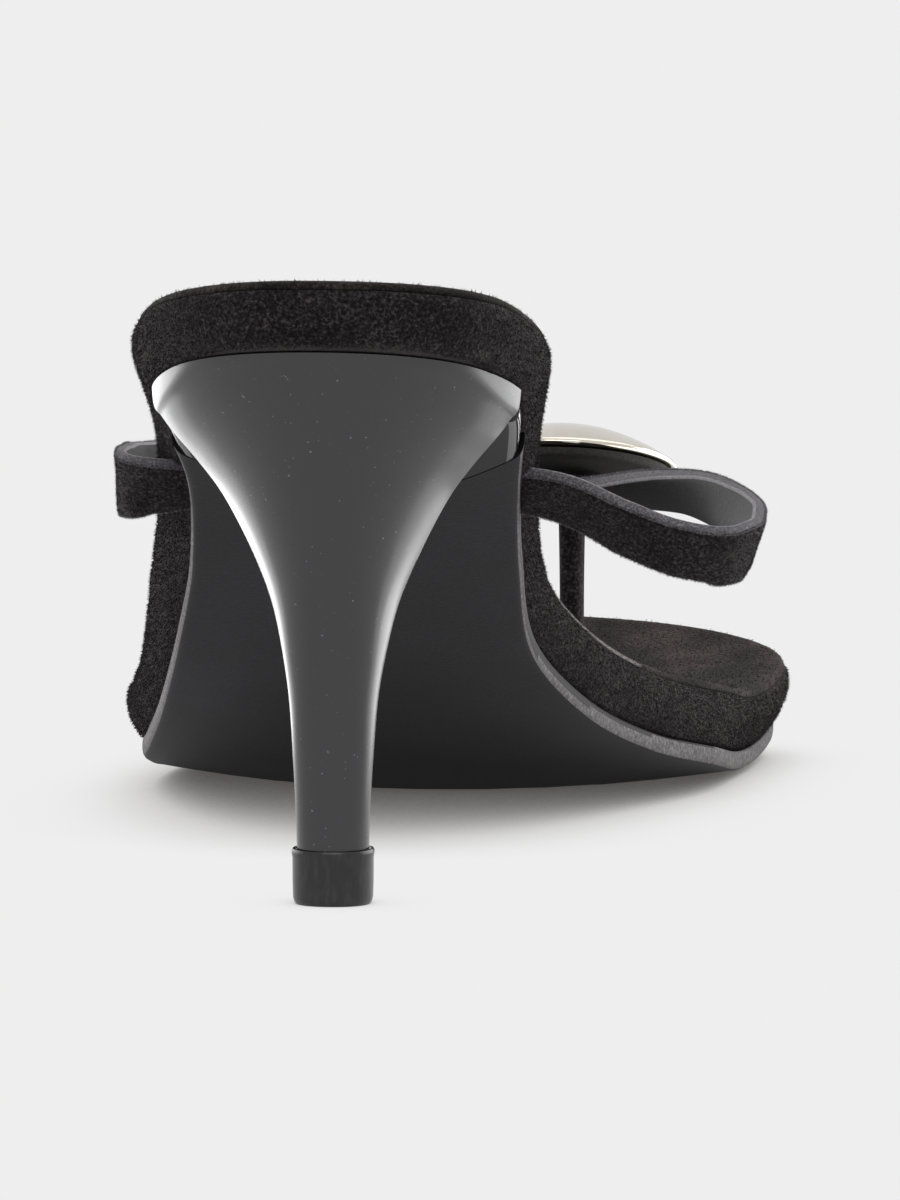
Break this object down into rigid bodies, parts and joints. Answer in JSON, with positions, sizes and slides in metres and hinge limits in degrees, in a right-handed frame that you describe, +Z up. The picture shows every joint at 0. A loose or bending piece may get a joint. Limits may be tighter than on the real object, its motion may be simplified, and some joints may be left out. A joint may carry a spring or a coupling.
{
  "type": "heeled sandal",
  "caption": "Left thong mule with a padded suede footbed on a slim flared heel, a thin outsole, and suede ribbon straps looping out from the waist to a toe post under a domed metal disc.",
  "frame": {"origin": "centre of the heel's top piece, on the floor", "axes": "+Y from heel to toe, +X towards the big-toe side, +Z up"},
  "size_m": [0.0973, 0.2288, 0.0848],
  "materials": {
    "suede": "black suede with a short brownish nap",
    "sole_sheet": "smooth matte charcoal sheet",
    "heel_plastic": "black, moulded and polished",
    "lift_plastic": "black, moulded, half gloss",
    "disc_backing": "flat black",
    "disc_metal": "polished pale nickel"
  },
  "bodies": {
    "root": {"footbed": "suede", "insole_sock": "suede", "outsole": "sole_sheet", "heel": "heel_plastic", "top_piece": "lift_plastic", "upper": "suede", "disc_backing": "disc_backing", "metal_disc": "disc_metal"}
  },
  "joints": []
}
